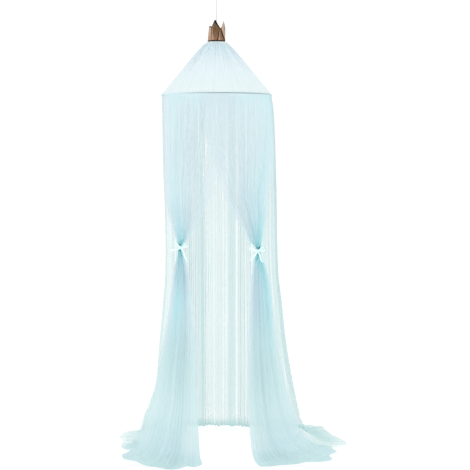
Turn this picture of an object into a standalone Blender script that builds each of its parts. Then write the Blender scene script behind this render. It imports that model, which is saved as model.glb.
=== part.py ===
"""Mosquito net canopy with its hoop.

The canopy hangs from a cord. The loop at the top of the cord is the origin, and +Z is up.
A crown stands on the gathered neck of a conical top, which a hoop spreads. Three net sheets
hang from the hoop down to the floor: one round the back and both sides, and two front panels
that overlap under the hoop and are tied back with ribbons. Heights are given over the floor,
and directions in degrees round the axis: 0 is the right side, 90 the back, 180 the left, 270 the front.
"""

import math
from collections import namedtuple

import bmesh
import bpy
from mathutils import Vector

LOOP_HEIGHT = 2.545  # the inner top of the hanging loop, over the floor
HOOP_HEIGHT = 1.962
HOOP_RADIUS = 0.300
HOOP_WIRE = 0.00275  # radius of the hoop's own wire
NECK_HEIGHT = 2.247  # the flat top of the gathered neck
SEAT = 0.0003  # gap between faces that touch
CLOTH = 0.0012  # thickness of the net as it hangs

CORD_RADIUS = 0.002
CORD_TOP = 2.488
KNOT_RADIUS = 0.009
CORD_HOLE = 0.0026  # radius of the holes in the neck and in the crown's floor

CROWN_WALL = 0.0016
CROWN_BAND = 0.007  # height of the plain band round the crown's foot
CROWN_FOOT = 0.0485  # radius of the folded wall at its foot
CROWN_POINT = 0.0475  # and at its points
CROWN_NOTCH = 0.0440
CROWN_NARROW_HALF = 11.5  # half the angle that the narrow facet under each notch takes at its foot

RIBBON_WIDTH = 0.010
RIBBON = 0.0012
BOW_TURN = 60  # how far a bow's loops and tails are turned, so that the ribbon's face shows from the front
BUNDLE_HALF_WIDTH = 0.0201  # of the ribbon's turn round the gathered cloth, along the wall
BUNDLE_HALF_DEPTH = 0.0136
BUNDLE_STANDS_OUT = 0.0013  # the gathered cloth's middle, outside the plain wall

# The wall's reach from the axis to each side, at heights over the floor.
Wall = namedtuple("Wall", "height left right front back")
WALLS = (
    Wall(1.962, 0.300, 0.300, 0.300, 0.300),
    Wall(1.90, 0.299, 0.312, 0.303, 0.301),
    Wall(1.66, 0.297, 0.325, 0.308, 0.302),
    Wall(1.39, 0.286, 0.332, 0.312, 0.298),
    Wall(1.17, 0.282, 0.335, 0.314, 0.294),
    Wall(1.00, 0.282, 0.338, 0.310, 0.292),
    Wall(0.83, 0.293, 0.355, 0.306, 0.291),
    Wall(0.60, 0.317, 0.378, 0.304, 0.291),
    Wall(0.375, 0.341, 0.418, 0.306, 0.293),
    Wall(0.26, 0.375, 0.442, 0.312, 0.295),
    Wall(0.145, 0.418, 0.466, 0.324, 0.298),
)
FLARE_HEIGHT = 0.145  # below this the curtains leave the wall and run out over the floor

# Where a sheet is at a height: its two edges as directions, the depth of its folds,
# and how far its start and its end stand out over the wall.
Drape = namedtuple("Drape", "height start end fold start_layer end_layer")
BACK_DRAPE = (
    Drape(1.962, -20, 200, 0.0005, -0.0022, -0.0022),
    Drape(1.90, -20, 200, 0.0030, -0.0022, -0.0022),
    Drape(1.75, -20, 200, 0.0070, -0.0022, -0.0022),
    Drape(1.15, -20, 200, 0.0110, -0.0022, -0.0022),
    Drape(0.60, -19, 199, 0.0140, -0.0022, -0.0022),
    Drape(0.26, -16, 196, 0.0150, -0.0022, -0.0022),
    Drape(0.145, -14, 194, 0.0140, -0.0022, -0.0022),
    Drape(0.013, -12, 192, 0.0050, 0.0, 0.0),
    Drape(0.004, -10, 190, 0.0040, 0.0, 0.0),
)
LEFT_DRAPE = (
    Drape(1.962, 177, 288.5, 0.0005, 0.0022, 0.0022),
    Drape(1.86, 178, 287, 0.0030, 0.0080, 0.0120),
    Drape(1.66, 183, 279, 0.0060, 0.0090, 0.0140),
    Drape(1.535, 188, 270.5, 0.0080, 0.0090, 0.0140),
    Drape(1.44, 196, 264.5, 0.0100, 0.0100, 0.0080),
    Drape(1.34, 208, 257, 0.0120, 0.0040, 0.0),
    Drape(1.27, 218, 249.5, 0.0130, 0.0, 0.0),
    Drape(1.20, 224.5, 240, 0.0130, 0.0, 0.0),
    Drape(1.166, 226.3, 232.7, 0.0110, 0.0, 0.0),
    Drape(1.142, 226.3, 232.7, 0.0110, 0.0, 0.0),
    Drape(1.11, 225, 234.5, 0.0120, 0.0, 0.0),
    Drape(1.06, 220.5, 238.5, 0.0140, 0.0, 0.0),
    Drape(0.97, 216, 242, 0.0160, 0.0, 0.0),
    Drape(0.87, 212, 244, 0.0160, 0.0, 0.0),
    Drape(0.67, 204.5, 247.5, 0.0170, 0.0040, 0.0),
    Drape(0.50, 198, 248, 0.0180, 0.0100, 0.0),
    Drape(0.35, 194, 249.5, 0.0170, 0.0140, 0.0),
    Drape(0.145, 189, 252.5, 0.0140, 0.0160, 0.0),
    Drape(0.037, 187, 254.5, 0.0090, 0.0240, 0.0),
    Drape(0.013, 186, 256, 0.0060, 0.0180, 0.0),
    Drape(0.004, 185, 256.6, 0.0050, 0.0140, 0.0),
)
RIGHT_DRAPE = (
    Drape(1.962, 253.5, 363, 0.0005, 0.0, 0.0),
    Drape(1.86, 255, 360, 0.0025, 0.0, 0.0080),
    Drape(1.66, 263, 348, 0.0050, 0.0, 0.0090),
    Drape(1.535, 270.5, 338, 0.0080, 0.0, 0.0070),
    Drape(1.42, 277.5, 328, 0.0100, 0.0, 0.0),
    Drape(1.33, 286.5, 325.5, 0.0120, 0.0, 0.0),
    Drape(1.24, 296.5, 320.5, 0.0130, 0.0, 0.0),
    Drape(1.185, 303, 317.5, 0.0130, 0.0, 0.0),
    Drape(1.15, 309.4, 315.6, 0.0110, 0.0, 0.0),
    Drape(1.126, 309.4, 315.6, 0.0110, 0.0, 0.0),
    Drape(1.09, 307.5, 318, 0.0120, 0.0, 0.0),
    Drape(1.03, 305.5, 323.5, 0.0140, 0.0, 0.0),
    Drape(0.95, 303.5, 328.5, 0.0160, 0.0, 0.0),
    Drape(0.80, 302, 331.5, 0.0160, 0.0, 0.0),
    Drape(0.60, 300.8, 334, 0.0170, 0.0, 0.0),
    Drape(0.46, 300.2, 337, 0.0180, 0.0, 0.0030),
    Drape(0.30, 299.8, 340, 0.0170, 0.0, 0.0080),
    Drape(0.145, 300, 344, 0.0140, 0.0, 0.0140),
    Drape(0.037, 300.5, 348, 0.0090, 0.0, 0.0200),
    Drape(0.013, 300.8, 350, 0.0060, 0.0, 0.0160),
    Drape(0.004, 301, 352, 0.0050, 0.0, 0.0140),
)

# The hem's outline on the floor, as its reach from the axis in each direction.
Hem = namedtuple("Hem", "angle reach")
BACK_HEM = (
    Hem(-12, 0.620),
    Hem(-1, 0.735),
    Hem(10, 0.665),
    Hem(20, 0.675),
    Hem(27, 0.700),
    Hem(36, 0.590),
    Hem(48, 0.440),
    Hem(58, 0.352),
    Hem(82, 0.322),
    Hem(108, 0.338),
    Hem(127, 0.420),
    Hem(146, 0.525),
    Hem(162, 0.588),
    Hem(171, 0.535),
    Hem(180, 0.538),
    Hem(186, 0.485),
    Hem(192, 0.445),
)
LEFT_HEM = (
    Hem(184, 0.520),
    Hem(191, 0.490),
    Hem(198, 0.488),
    Hem(204, 0.563),
    Hem(220, 0.524),
    Hem(230, 0.494),
    Hem(238, 0.472),
    Hem(246, 0.375),
    Hem(257, 0.308),
)
RIGHT_HEM = (
    Hem(301, 0.434),
    Hem(312, 0.465),
    Hem(322, 0.528),
    Hem(329, 0.625),
    Hem(336, 0.668),
    Hem(340, 0.624),
    Hem(344, 0.668),
    Hem(352, 0.590),
)

# The rows of a sheet: the height of each, and its share of the way from the wall to the hem.
Row = namedtuple("Row", "height run_out")
HEM_ROWS = (
    Row(FLARE_HEIGHT, 0.0),
    Row(0.080, 0.12),
    Row(0.037, 0.30),
    Row(0.013, 0.52),
    Row(0.006, 0.76),
    Row(0.004, 1.0),
)
TOP_EDGE = HOOP_HEIGHT - HOOP_WIRE - SEAT
STEPS_PER_FOLD = 5
BACK_HEIGHTS = (TOP_EDGE, 1.91, 1.80, 1.64, 1.43, 1.18, 0.92, 0.70, 0.50, 0.35, 0.24)
OVER_TIE_HEIGHTS = (TOP_EDGE, 1.91, 1.81, 1.69, 1.57, 1.46, 1.37)
FROM_TIE = (0.140, 0.085, 0.042, 0.010, -0.010, -0.045, -0.110, -0.200)
UNDER_TIE_HEIGHTS = (0.820, 0.660, 0.490, 0.345, 0.235)

# The cone's profile from the cord out to the hoop, and the depth of its gathers.
Gather = namedtuple("Gather", "reach height fold")
CONE = (
    Gather(CORD_HOLE, NECK_HEIGHT, 0.0),
    Gather(0.0300, NECK_HEIGHT, 0.0),
    Gather(0.0480, NECK_HEIGHT - 0.0015, 0.0006),
    Gather(0.0640, 2.234, 0.0026),
    Gather(0.0920, 2.206, 0.0030),
    Gather(0.1450, 2.146, 0.0020),
    Gather(0.2200, 2.060, 0.0008),
    Gather(0.3000, HOOP_HEIGHT + HOOP_WIRE + SEAT, 0.0),
)
CONE_GATHERS = 14
STEPS_PER_GATHER = 4

# The crown's rim: each point with the notch on its right, as seen from outside.
Rim = namedtuple("Rim", "point_angle point_height notch_angle notch_height")
CROWN_RIM = (
    Rim(262, 0.107, 303, 0.068),
    Rim(333, 0.103, 363, 0.070),
    Rim(396, 0.098, 427, 0.069),
    Rim(456, 0.103, 488, 0.070),
    Rim(518, 0.084, 545, 0.071),
    Rim(570, 0.078, 596, 0.073),
)

# Each end of a bow as its tip's place from the knot: across and up, and the width that a loop opens to.
Bow = namedtuple("Bow", "across up open")
Tie = namedtuple("Tie", "name angle height ends")
TIES = (
    Tie("left_tie", 229.5, 1.154, (
        Bow(-0.034, 0.023, 0.024),
        Bow(0.038, 0.016, 0.022),
        Bow(-0.058, -0.018, 0.0),
        Bow(0.038, -0.076, 0.0),
    )),
    Tie("right_tie", 312.5, 1.138, (
        Bow(-0.044, 0.012, 0.024),
        Bow(0.039, 0.010, 0.024),
        Bow(-0.036, -0.054, 0.0),
        Bow(0.029, -0.062, 0.0),
    )),
)


def clear_scene():
    for thing in list(bpy.data.objects):
        bpy.data.objects.remove(thing, do_unlink=True)


def above_floor(x, y, height):
    return Vector((x, y, height - LOOP_HEIGHT))


def around(angle, reach, height):
    turn = math.radians(angle)
    return above_floor(reach * math.cos(turn), reach * math.sin(turn), height)


def mix(a, b, share):
    return a + (b - a) * share


def read(table, column, value):
    """A column of a table at a value of its first column, on a cubic that stays between the rows."""
    rows = sorted((row[0], getattr(row, column)) for row in table)
    if value <= rows[0][0]:
        return rows[0][1]
    if value >= rows[-1][0]:
        return rows[-1][1]
    slopes = [(b[1] - a[1]) / (b[0] - a[0]) for a, b in zip(rows, rows[1:])]
    index = max(i for i in range(len(slopes)) if rows[i][0] <= value)

    def tangent(i):
        if i in (0, len(slopes)):
            return 0.0
        before, after = slopes[i - 1], slopes[i]
        return 0.0 if before * after <= 0 else 2 * before * after / (before + after)

    width = rows[index + 1][0] - rows[index][0]
    t = (value - rows[index][0]) / width
    return (
        (2 * t**3 - 3 * t**2 + 1) * rows[index][1]
        + (t**3 - 2 * t**2 + t) * width * tangent(index)
        + (3 * t**2 - 2 * t**3) * rows[index + 1][1]
        + (t**3 - t**2) * width * tangent(index + 1)
    )


def wall_reach(angle, height):
    """How far the hanging cloth stands from the axis in a direction: quarters of four ellipses."""
    across, deep = math.cos(math.radians(angle)), math.sin(math.radians(angle))
    side = read(WALLS, "right" if across > 0 else "left", height)
    face = read(WALLS, "back" if deep > 0 else "front", height)
    return 1 / math.hypot(across / side, deep / face)


def material(name, color, roughness, metallic=0.0, alpha=1.0):
    made = bpy.data.materials.new(name)
    made.use_nodes = True
    shader = made.node_tree.nodes["Principled BSDF"]
    shader.inputs["Base Color"].default_value = (*color, 1)
    shader.inputs["Roughness"].default_value = roughness
    shader.inputs["Metallic"].default_value = metallic
    shader.inputs["Alpha"].default_value = alpha
    return made


def add_object(name, mesh, look):
    made = bpy.data.objects.new(name, mesh)
    mesh.materials.append(look)
    bpy.context.scene.collection.objects.link(made)
    return made


def thicken(thing, thickness):
    solidify = thing.modifiers.new("thickness", "SOLIDIFY")
    solidify.thickness = thickness
    solidify.offset = 0
    solidify.use_quality_normals = True


def grid_object(name, grid, look, thickness, closed=False):
    """A thin solid on a grid of points, given as rows from the top down, each running round to the left."""
    mesh = bpy.data.meshes.new(name)
    shape = bmesh.new()
    rows = [[shape.verts.new(point) for point in row] for row in grid]
    count = len(grid[0])
    for upper, lower in zip(rows, rows[1:]):
        for i in range(count if closed else count - 1):
            j = (i + 1) % count
            shape.faces.new((upper[i], lower[i], lower[j]))
            shape.faces.new((upper[i], lower[j], upper[j]))
    shape.to_mesh(mesh)
    shape.free()
    mesh.shade_smooth()
    made = add_object(name, mesh, look)
    thicken(made, thickness)
    return made


def hung_point(angle, row, hem):
    """The plain curtain surface, without folds: down the wall, and out over the floor to the hem."""
    reach = wall_reach(angle, row.height)
    if row.run_out:
        reach = mix(wall_reach(angle, FLARE_HEIGHT), read(hem, "reach", angle), row.run_out)
    return around(angle, reach, row.height)


def outward(angle, row, hem):
    """The direction in which a fold stands out from the plain surface: sideways on the wall, up on the floor."""
    turned = Vector((math.cos(math.radians(angle)), math.sin(math.radians(angle)), 0))
    lift = min(1.0, 1.6 * row.run_out)
    return (turned * (1 - lift) + Vector((0, 0, lift))).normalized()


def panel_heights(tie):
    return OVER_TIE_HEIGHTS + tuple(tie.height + step for step in FROM_TIE) + UNDER_TIE_HEIGHTS


def hang_sheet(name, heights, drape, hem, folds, look):
    """A net sheet with its main folds: each keeps its share of the width from the hoop to the hem."""
    rows = [Row(height, 0.0) for height in heights] + list(HEM_ROWS)
    columns = folds * STEPS_PER_FOLD
    grid = []
    for row in rows:
        start, end = read(drape, "start", row.height), read(drape, "end", row.height)
        fold = read(drape, "fold", row.height)
        start_layer = read(drape, "start_layer", row.height)
        end_layer = read(drape, "end_layer", row.height)
        points = []
        for i in range(columns + 1):
            share = i / columns
            uneven = share + 0.10 / folds * math.sin(math.tau * 3.3 * share + 1.0)
            angle = mix(start, end, min(max(uneven, 0.0), 1.0) if 0 < i < columns else share)
            near_edge = min(1.0, 0.25 + 4 * min(share, 1 - share))
            bold = 0.8 + 0.2 * math.sin(math.tau * 2.3 * share + 0.6)
            wave = math.cos(math.tau * i / STEPS_PER_FOLD)
            resting = min(1.0, 2 * row.run_out)
            layer = mix(start_layer, end_layer, smooth_step(share))
            depth = fold * near_edge * bold * (wave + resting)
            point = hung_point(angle, row, hem)
            points.append(point + outward(angle, row, hem) * (layer + depth))
        grid.append(points)
    return grid_object(name, grid, look, CLOTH)


def smooth_step(share):
    return share * share * (3 - 2 * share)


def make_cone(look):
    count = CONE_GATHERS * STEPS_PER_GATHER
    grid = []
    for ring in CONE:
        row = []
        for i in range(count):
            wave = math.cos(math.tau * i / STEPS_PER_GATHER) * (0.8 + 0.2 * math.sin(5 * math.tau * i / count))
            fold = ring.fold * wave
            row.append(around(360 * i / count, ring.reach + 0.78 * fold, ring.height + 0.62 * fold))
        grid.append(row)
    grid_object("cone_top", grid, look, CLOTH, closed=True)


def make_hoop(look):
    bpy.ops.mesh.primitive_torus_add(
        location=above_floor(0, 0, HOOP_HEIGHT),
        major_radius=HOOP_RADIUS,
        minor_radius=HOOP_WIRE,
        major_segments=60,
        minor_segments=6,
    )
    hoop = bpy.context.active_object
    hoop.name = "hoop"
    hoop.data.materials.append(look)
    hoop.data.shade_smooth()


def make_crown(look):
    """A wall of folded facets on its own floor: a tall one under each point, a narrow one under each notch."""
    foot = NECK_HEIGHT + CLOTH / 2 + SEAT + CROWN_WALL / 2
    mesh = bpy.data.meshes.new("crown")
    shape = bmesh.new()
    hole, floor, band, rim = [], [], [], []
    for peak in CROWN_RIM:
        rim.append(shape.verts.new(around(peak.point_angle, CROWN_POINT, foot + peak.point_height)))
        rim.append(shape.verts.new(around(peak.notch_angle, CROWN_NOTCH, foot + peak.notch_height)))
        for angle in (peak.notch_angle - CROWN_NARROW_HALF, peak.notch_angle + CROWN_NARROW_HALF):
            hole.append(shape.verts.new(around(angle, CORD_HOLE, foot)))
            floor.append(shape.verts.new(around(angle, CROWN_FOOT, foot)))
            band.append(shape.verts.new(around(angle, CROWN_FOOT, foot + CROWN_BAND)))
    count = len(band)
    for inner, outer in ((hole, floor), (floor, band)):
        for i in range(count):
            j = (i + 1) % count
            shape.faces.new((inner[i], inner[j], outer[j]))
            shape.faces.new((inner[i], outer[j], outer[i]))
    for i in range(0, count, 2):
        point, notch, following = rim[i], rim[i + 1], rim[(i + 2) % count]
        left, right, after = band[i], band[i + 1], band[(i + 2) % count]
        shape.faces.new((left, right, notch))
        shape.faces.new((left, notch, point))
        shape.faces.new((right, following, notch))
        shape.faces.new((right, after, following))
    shape.to_mesh(mesh)
    shape.free()
    crown = add_object("crown", mesh, look)
    thicken(crown, CROWN_WALL)


def tube(name, points, look, cyclic=False):
    curve = bpy.data.curves.new(name, "CURVE")
    curve.dimensions = "3D"
    curve.bevel_depth = CORD_RADIUS
    curve.bevel_resolution = 2
    curve.use_fill_caps = True
    spline = curve.splines.new("POLY")
    spline.points.add(len(points) - 1)
    spline.use_cyclic_u = cyclic
    for spot, point in zip(spline.points, points):
        spot.co = (*point, 1)
    return add_object(name, curve, look)


def knot(name, height, look):
    """A round overhand knot: two turns of the cord drawn into a ball, flattened where it carries the cloth."""
    bpy.ops.mesh.primitive_uv_sphere_add(
        segments=16, ring_count=8, radius=KNOT_RADIUS, location=above_floor(0, 0, height)
    )
    made = bpy.context.active_object
    made.name = name
    made.scale.z = 0.8
    bpy.ops.object.transform_apply(location=False, rotation=False, scale=True)
    made.data.materials.append(look)
    made.data.shade_smooth()
    return made


def make_cord(look):
    half = 0.8 * KNOT_RADIUS
    foot = NECK_HEIGHT - CLOTH / 2 + SEAT
    knot("neck_knot", foot - SEAT - half, look)
    knot("hanging_knot", CORD_TOP + SEAT + half, look)
    steps = math.ceil((CORD_TOP - foot) / (6 * CORD_RADIUS))
    tube("hanging_cord", [above_floor(0, 0, mix(foot, CORD_TOP, i / steps)) for i in range(steps + 1)], look)
    start = CORD_TOP + 2 * half + 2 * SEAT + CORD_RADIUS
    top = LOOP_HEIGHT + CORD_RADIUS
    loop = []
    for i in range(20):
        turn = math.tau * i / 20
        rise = (1 - math.cos(turn)) / 2
        width = 0.010 * math.sin(turn) * (0.45 + 0.55 * rise)
        loop.append(above_floor(width, 0, mix(start, top, rise)))
    tube("hanging_loop", loop, look, cyclic=True)


def ribbon_strip(shape, centre_line, across, closed=False):
    """A flat ribbon along a line of points: a bar of four sides, with ends where it isn't closed."""
    rings = []
    count = len(centre_line)
    for i, point in enumerate(centre_line):
        before = centre_line[(i - 1) % count] if closed or i else point
        after = centre_line[(i + 1) % count] if closed or i < count - 1 else point
        side = across.normalized() * RIBBON_WIDTH / 2
        out = (after - before).cross(across).normalized() * RIBBON / 2
        corners = (point + side + out, point - side + out, point - side - out, point + side - out)
        rings.append([shape.verts.new(corner) for corner in corners])
    for i in range(count if closed else count - 1):
        ring, following = rings[i], rings[(i + 1) % count]
        for k in range(4):
            shape.faces.new((ring[k], following[k], following[(k + 1) % 4], ring[(k + 1) % 4]))
    if not closed:
        shape.faces.new(rings[0])
        shape.faces.new(reversed(rings[-1]))


def helper(name, build):
    """A mesh that is only joined to another: hidden in the render, shown as wire."""
    mesh = bpy.data.meshes.new(name)
    shape = bmesh.new()
    build(shape)
    bmesh.ops.recalc_face_normals(shape, faces=shape.faces)
    shape.to_mesh(mesh)
    shape.free()
    made = bpy.data.objects.new(name, mesh)
    bpy.context.scene.collection.objects.link(made)
    return made


def bow_line(knot_centre, end):
    """From the knot out to a tail's tip, or out along a loop and back. Also gives the ribbon's own width."""
    across, up = Vector((end.across, 0, end.up)), Vector((-end.up, 0, end.across)).normalized()
    turn = math.radians(BOW_TURN)
    opening = up * math.cos(turn) + Vector((0, math.sin(turn), 0))
    ribbon = Vector((0, math.cos(turn), 0)) - up * math.sin(turn)
    points = []
    steps = 12 if end.open else 5
    for i in range(steps + 1):
        share = i / steps
        if end.open:
            out = math.sin(math.pi * share) ** 0.8
            aside = -end.open / 2 * math.sin(math.tau * share)
        else:
            out = share
            aside = 0.004 * math.sin(math.tau * share)
        forward = Vector((0, -0.006 * math.sin(math.pi * out), 0))
        points.append(knot_centre + across * out + opening * aside + forward)
    return points, ribbon


def make_tie(tie, look):
    """A ribbon round the gathered panel, with a knot and a bow in front of it."""
    centre = around(tie.angle, wall_reach(tie.angle, tie.height) + BUNDLE_STANDS_OUT, tie.height)
    turn = math.radians(tie.angle)
    outwards = Vector((math.cos(turn), math.sin(turn), 0)) * BUNDLE_HALF_DEPTH
    sideways = Vector((-math.sin(turn), math.cos(turn), 0)) * BUNDLE_HALF_WIDTH
    steps = 24
    turns = [math.tau * i / steps for i in range(steps)]
    band = [centre + sideways * math.cos(turned) + outwards * math.sin(turned) for turned in turns]
    front = min(band, key=lambda point: point.y)
    knot_centre = front + Vector((0, -0.004, 0))

    def build_band(shape):
        ribbon_strip(shape, band, Vector((0, 0, 1)), closed=True)

    def build_knot(shape):
        bmesh.ops.create_icosphere(shape, subdivisions=2, radius=0.0065)
        bmesh.ops.scale(shape, vec=(1.0, 0.85, 1.15), verts=shape.verts)
        bmesh.ops.translate(shape, vec=knot_centre, verts=shape.verts)

    body = helper(tie.name, build_band)
    body.data.materials.append(look)
    joined = [helper(tie.name + "_knot", build_knot)]
    for i, end in enumerate(tie.ends):
        line, width = bow_line(knot_centre, end)

        def build_end(shape, line=line, width=width):
            ribbon_strip(shape, line, width)

        joined.append(helper(f"{tie.name}_end_{i}", build_end))
    for other in joined:
        other.hide_render = True
        other.display_type = "WIRE"
        union = body.modifiers.new(other.name, "BOOLEAN")
        union.operation = "UNION"
        union.object = other
        union.solver = "EXACT"


def main():
    clear_scene()
    net = material("net", (0.66, 0.84, 0.88), 0.9, alpha=0.6)
    top_cloth = material("top_cloth", (0.83, 0.92, 0.95), 0.9)
    satin = material("satin_ribbon", (0.78, 0.94, 0.93), 0.45)
    copper = material("copper", (0.42, 0.24, 0.16), 0.35, metallic=0.9)
    steel = material("hoop_band", (0.35, 0.48, 0.52), 0.7)
    cord = material("cord", (0.72, 0.75, 0.77), 0.8)
    make_cone(top_cloth)
    make_hoop(steel)
    hang_sheet("back_curtain", BACK_HEIGHTS, BACK_DRAPE, BACK_HEM, 13, net)
    hang_sheet("left_front_panel", panel_heights(TIES[0]), LEFT_DRAPE, LEFT_HEM, 6, net)
    hang_sheet("right_front_panel", panel_heights(TIES[1]), RIGHT_DRAPE, RIGHT_HEM, 6, net)
    for tie in TIES:
        make_tie(tie, satin)
    make_crown(copper)
    make_cord(cord)


main()
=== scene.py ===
"""Looks of the mosquito net canopy: pleated sheer curtains, cone, crown, hoop, ribbons and cord.

The frame's origin is the inner top of the hanging loop, and the floor is LOOP_HEIGHT under it.
Lengths are metres. Heights in the tables are over the floor, and directions are degrees round the axis:
0 is the right side, 90 the back, 180 the left, 270 the front.
"""

import math
from collections import namedtuple

import bmesh
import bpy
import numpy as np
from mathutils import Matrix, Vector


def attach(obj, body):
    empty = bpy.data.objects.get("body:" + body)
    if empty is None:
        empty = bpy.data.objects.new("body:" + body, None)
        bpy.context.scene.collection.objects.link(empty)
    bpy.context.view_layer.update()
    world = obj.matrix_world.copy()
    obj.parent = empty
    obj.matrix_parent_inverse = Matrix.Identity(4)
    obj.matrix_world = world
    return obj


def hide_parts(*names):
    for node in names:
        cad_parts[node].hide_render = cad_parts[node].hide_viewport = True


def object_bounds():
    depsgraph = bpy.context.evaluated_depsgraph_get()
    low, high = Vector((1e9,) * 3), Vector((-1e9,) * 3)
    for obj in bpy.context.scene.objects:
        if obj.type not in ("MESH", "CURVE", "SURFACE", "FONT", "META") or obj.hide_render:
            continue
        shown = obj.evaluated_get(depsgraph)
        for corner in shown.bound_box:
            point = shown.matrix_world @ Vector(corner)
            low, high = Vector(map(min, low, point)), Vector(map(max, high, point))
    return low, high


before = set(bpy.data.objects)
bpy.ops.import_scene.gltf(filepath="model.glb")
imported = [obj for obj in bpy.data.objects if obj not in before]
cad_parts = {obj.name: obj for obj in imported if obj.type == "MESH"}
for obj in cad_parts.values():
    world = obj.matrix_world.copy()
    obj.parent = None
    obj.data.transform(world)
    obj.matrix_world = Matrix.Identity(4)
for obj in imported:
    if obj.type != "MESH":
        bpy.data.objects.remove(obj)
CAD_BOX = [list(corner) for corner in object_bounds()]

LOOP_HEIGHT = 2.545
NECK_HEIGHT = 2.247
TOP_EDGE = 1.959  # of the net, just under the hoop
FLARE_HEIGHT = 0.145  # below this the net runs out over the floor
HOOP_RADIUS = 0.3
CORD_HOLE = 0.0026  # radius of the hole that the cord passes through
SEAT = 0.0003  # gap between pieces that touch
LEFT_TIED_AT = 1.154
RIGHT_TIED_AT = 1.138
WHITE = (1, 1, 1, 1)

# -------- camera

EYE = Vector((0, -5.14, 1.74 - LOOP_HEIGHT))
EYE_DOWN = 6.055
EYE_RIGHT = 1.115
LENS = 71.46
SENSOR_WIDTH = 36
FARTHEST = 100


def make_camera():
    data = bpy.data.cameras.new("camera")
    data.lens = LENS
    data.sensor_width = SENSOR_WIDTH
    data.clip_end = FARTHEST
    camera = bpy.data.objects.new("camera", data)
    bpy.context.scene.collection.objects.link(camera)
    camera.location = EYE
    camera.rotation_euler = (math.radians(90 - EYE_DOWN), 0, math.radians(-EYE_RIGHT))
    bpy.context.scene.camera = camera


make_camera()


# -------- node helpers


def put(tree, value, socket):
    """Links another node's output to a socket, or sets the socket to a constant."""
    if isinstance(value, bpy.types.NodeSocket):
        tree.links.new(value, socket)
    else:
        socket.default_value = value


def fill(tree, made, **values):
    """Fills a node's sockets, named with underscores for their spaces, and sets its other properties."""
    for key, value in values.items():
        name = key.replace("_", " ")
        if name in made.inputs:
            put(tree, value, made.inputs[name])
        else:
            setattr(made, key, value)


def node(tree, kind, **values):
    made = tree.nodes.new("ShaderNode" + kind)
    fill(tree, made, **values)
    return made


def new_material(name):
    made = bpy.data.materials.new(name)
    made.use_nodes = True
    tree = made.node_tree
    return made, tree, tree.nodes["Principled BSDF"]


def ramp(tree, factor, *stops):
    """A colour ramp through (place, colour) stops."""
    made = node(tree, "ValToRGB", Fac=factor)
    elements = made.color_ramp.elements
    while len(elements) < len(stops):
        elements.new(0.5)
    for element, (place, color) in zip(elements, stops):
        element.position = place
        element.color = (*color, 1)
    return made.outputs["Color"]


def stretched_noise(tree, coordinates, scale, detail):
    """Noise that is drawn out by a different scale along each axis."""
    mapping = node(tree, "Mapping", Vector=coordinates, Scale=scale)
    noise = node(tree, "TexNoise", Vector=mapping.outputs["Vector"], Scale=1.0, Detail=detail)
    return noise.outputs["Fac"]


def object_place(tree):
    return node(tree, "TexCoord").outputs["Object"]


def calculate(tree, operation, *values):
    made = node(tree, "Math", operation=operation)
    for socket, value in zip(made.inputs, values):
        put(tree, value, socket)
    return made.outputs[0]


def product(tree, *values):
    result = values[0]
    for value in values[1:]:
        result = calculate(tree, "MULTIPLY", result, value)
    return result


def remap(tree, value, low, high, from_low=0.3, from_high=0.7):
    """Carries a range, by default the one that noise mostly keeps to, onto low to high."""
    ends = {"From_Min": from_low, "From_Max": from_high, "To_Min": low, "To_Max": high}
    return node(tree, "MapRange", Value=value, **ends).outputs["Result"]


def mixed(tree, factor, a, b, blend="MIX"):
    made = node(tree, "Mix", data_type="RGBA", blend_type=blend, Factor=factor, A=a, B=b)
    return made.outputs["Result"]


def mixed_shaders(tree, factor, first, second):
    made = node(tree, "MixShader")
    for socket, value in zip(made.inputs, (factor, first, second)):
        put(tree, value, socket)
    return made.outputs["Shader"]


def bumped(tree, height, strength, distance):
    """The normal of a surface that is raised by a pattern."""
    return node(tree, "Bump", Height=height, Strength=strength, Distance=distance).outputs["Normal"]


# -------- materials

# Each cloth's colour by how much of it lies together: from one thin layer to a bundle drawn in by its tie.
# Painted shade in creases and in the cone's troughs is added to the same value and deepens it further.
BACK_TINTS = ((0.08, (0.42, 0.64, 0.64)), (0.3, (0.46, 0.67, 0.68)), (0.6, (0.5, 0.7, 0.72)))
PANEL_TINTS = (
    (0.22, (0.725, 0.82, 0.87)),
    (0.4, (0.7, 0.86, 0.9)),
    (0.58, (0.6, 0.86, 0.895)),
    (0.75, (0.545, 0.86, 0.89)),
    (0.88, (0.49, 0.8, 0.83)),
    (0.97, (0.43, 0.735, 0.765)),
    # painted shade: the panels reach this darkest stop only in the creases at their ties
    (0.995, (0.1, 0.32, 0.34)),
)
TOP_TINTS = ((0.3, (0.82, 0.865, 0.86)), (0.55, (0.765, 0.845, 0.885)), (0.9, (0.63, 0.78, 0.86)))
# The panels' colour in their lower half, from where it hangs free to where it lies on the floor.
GROUND_TINTS = (
    (0.5, (0.66, 0.81, 0.827)), (0.62, (0.585, 0.75, 0.78)), (0.8, (0.56, 0.725, 0.745)),
    (1, (0.56, 0.725, 0.74)),
)
# Each cloth's roughness, the pitch of its threads, and how strongly its threads and its streaks show.
Weave = namedtuple("Weave", "roughness pitch depth streaks")
BACK_WEAVE = Weave(0.9, 0.0024, 0.08, 0.08)
PANEL_WEAVE = Weave(0.9, 0.0024, 0.05, 0.04)
TOP_WEAVE = Weave(0.85, 0.0015, 0.03, 0.03)
STREAK_SCALE = (160, 1.4, 1)  # narrow across the cloth and long down it
STREAK_LIGHT = 0.3  # how much the streaks lighten, for each part that they darken
HANGING_FREE = 0.5  # grounded value at which the cloth has only its ground tint


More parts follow.
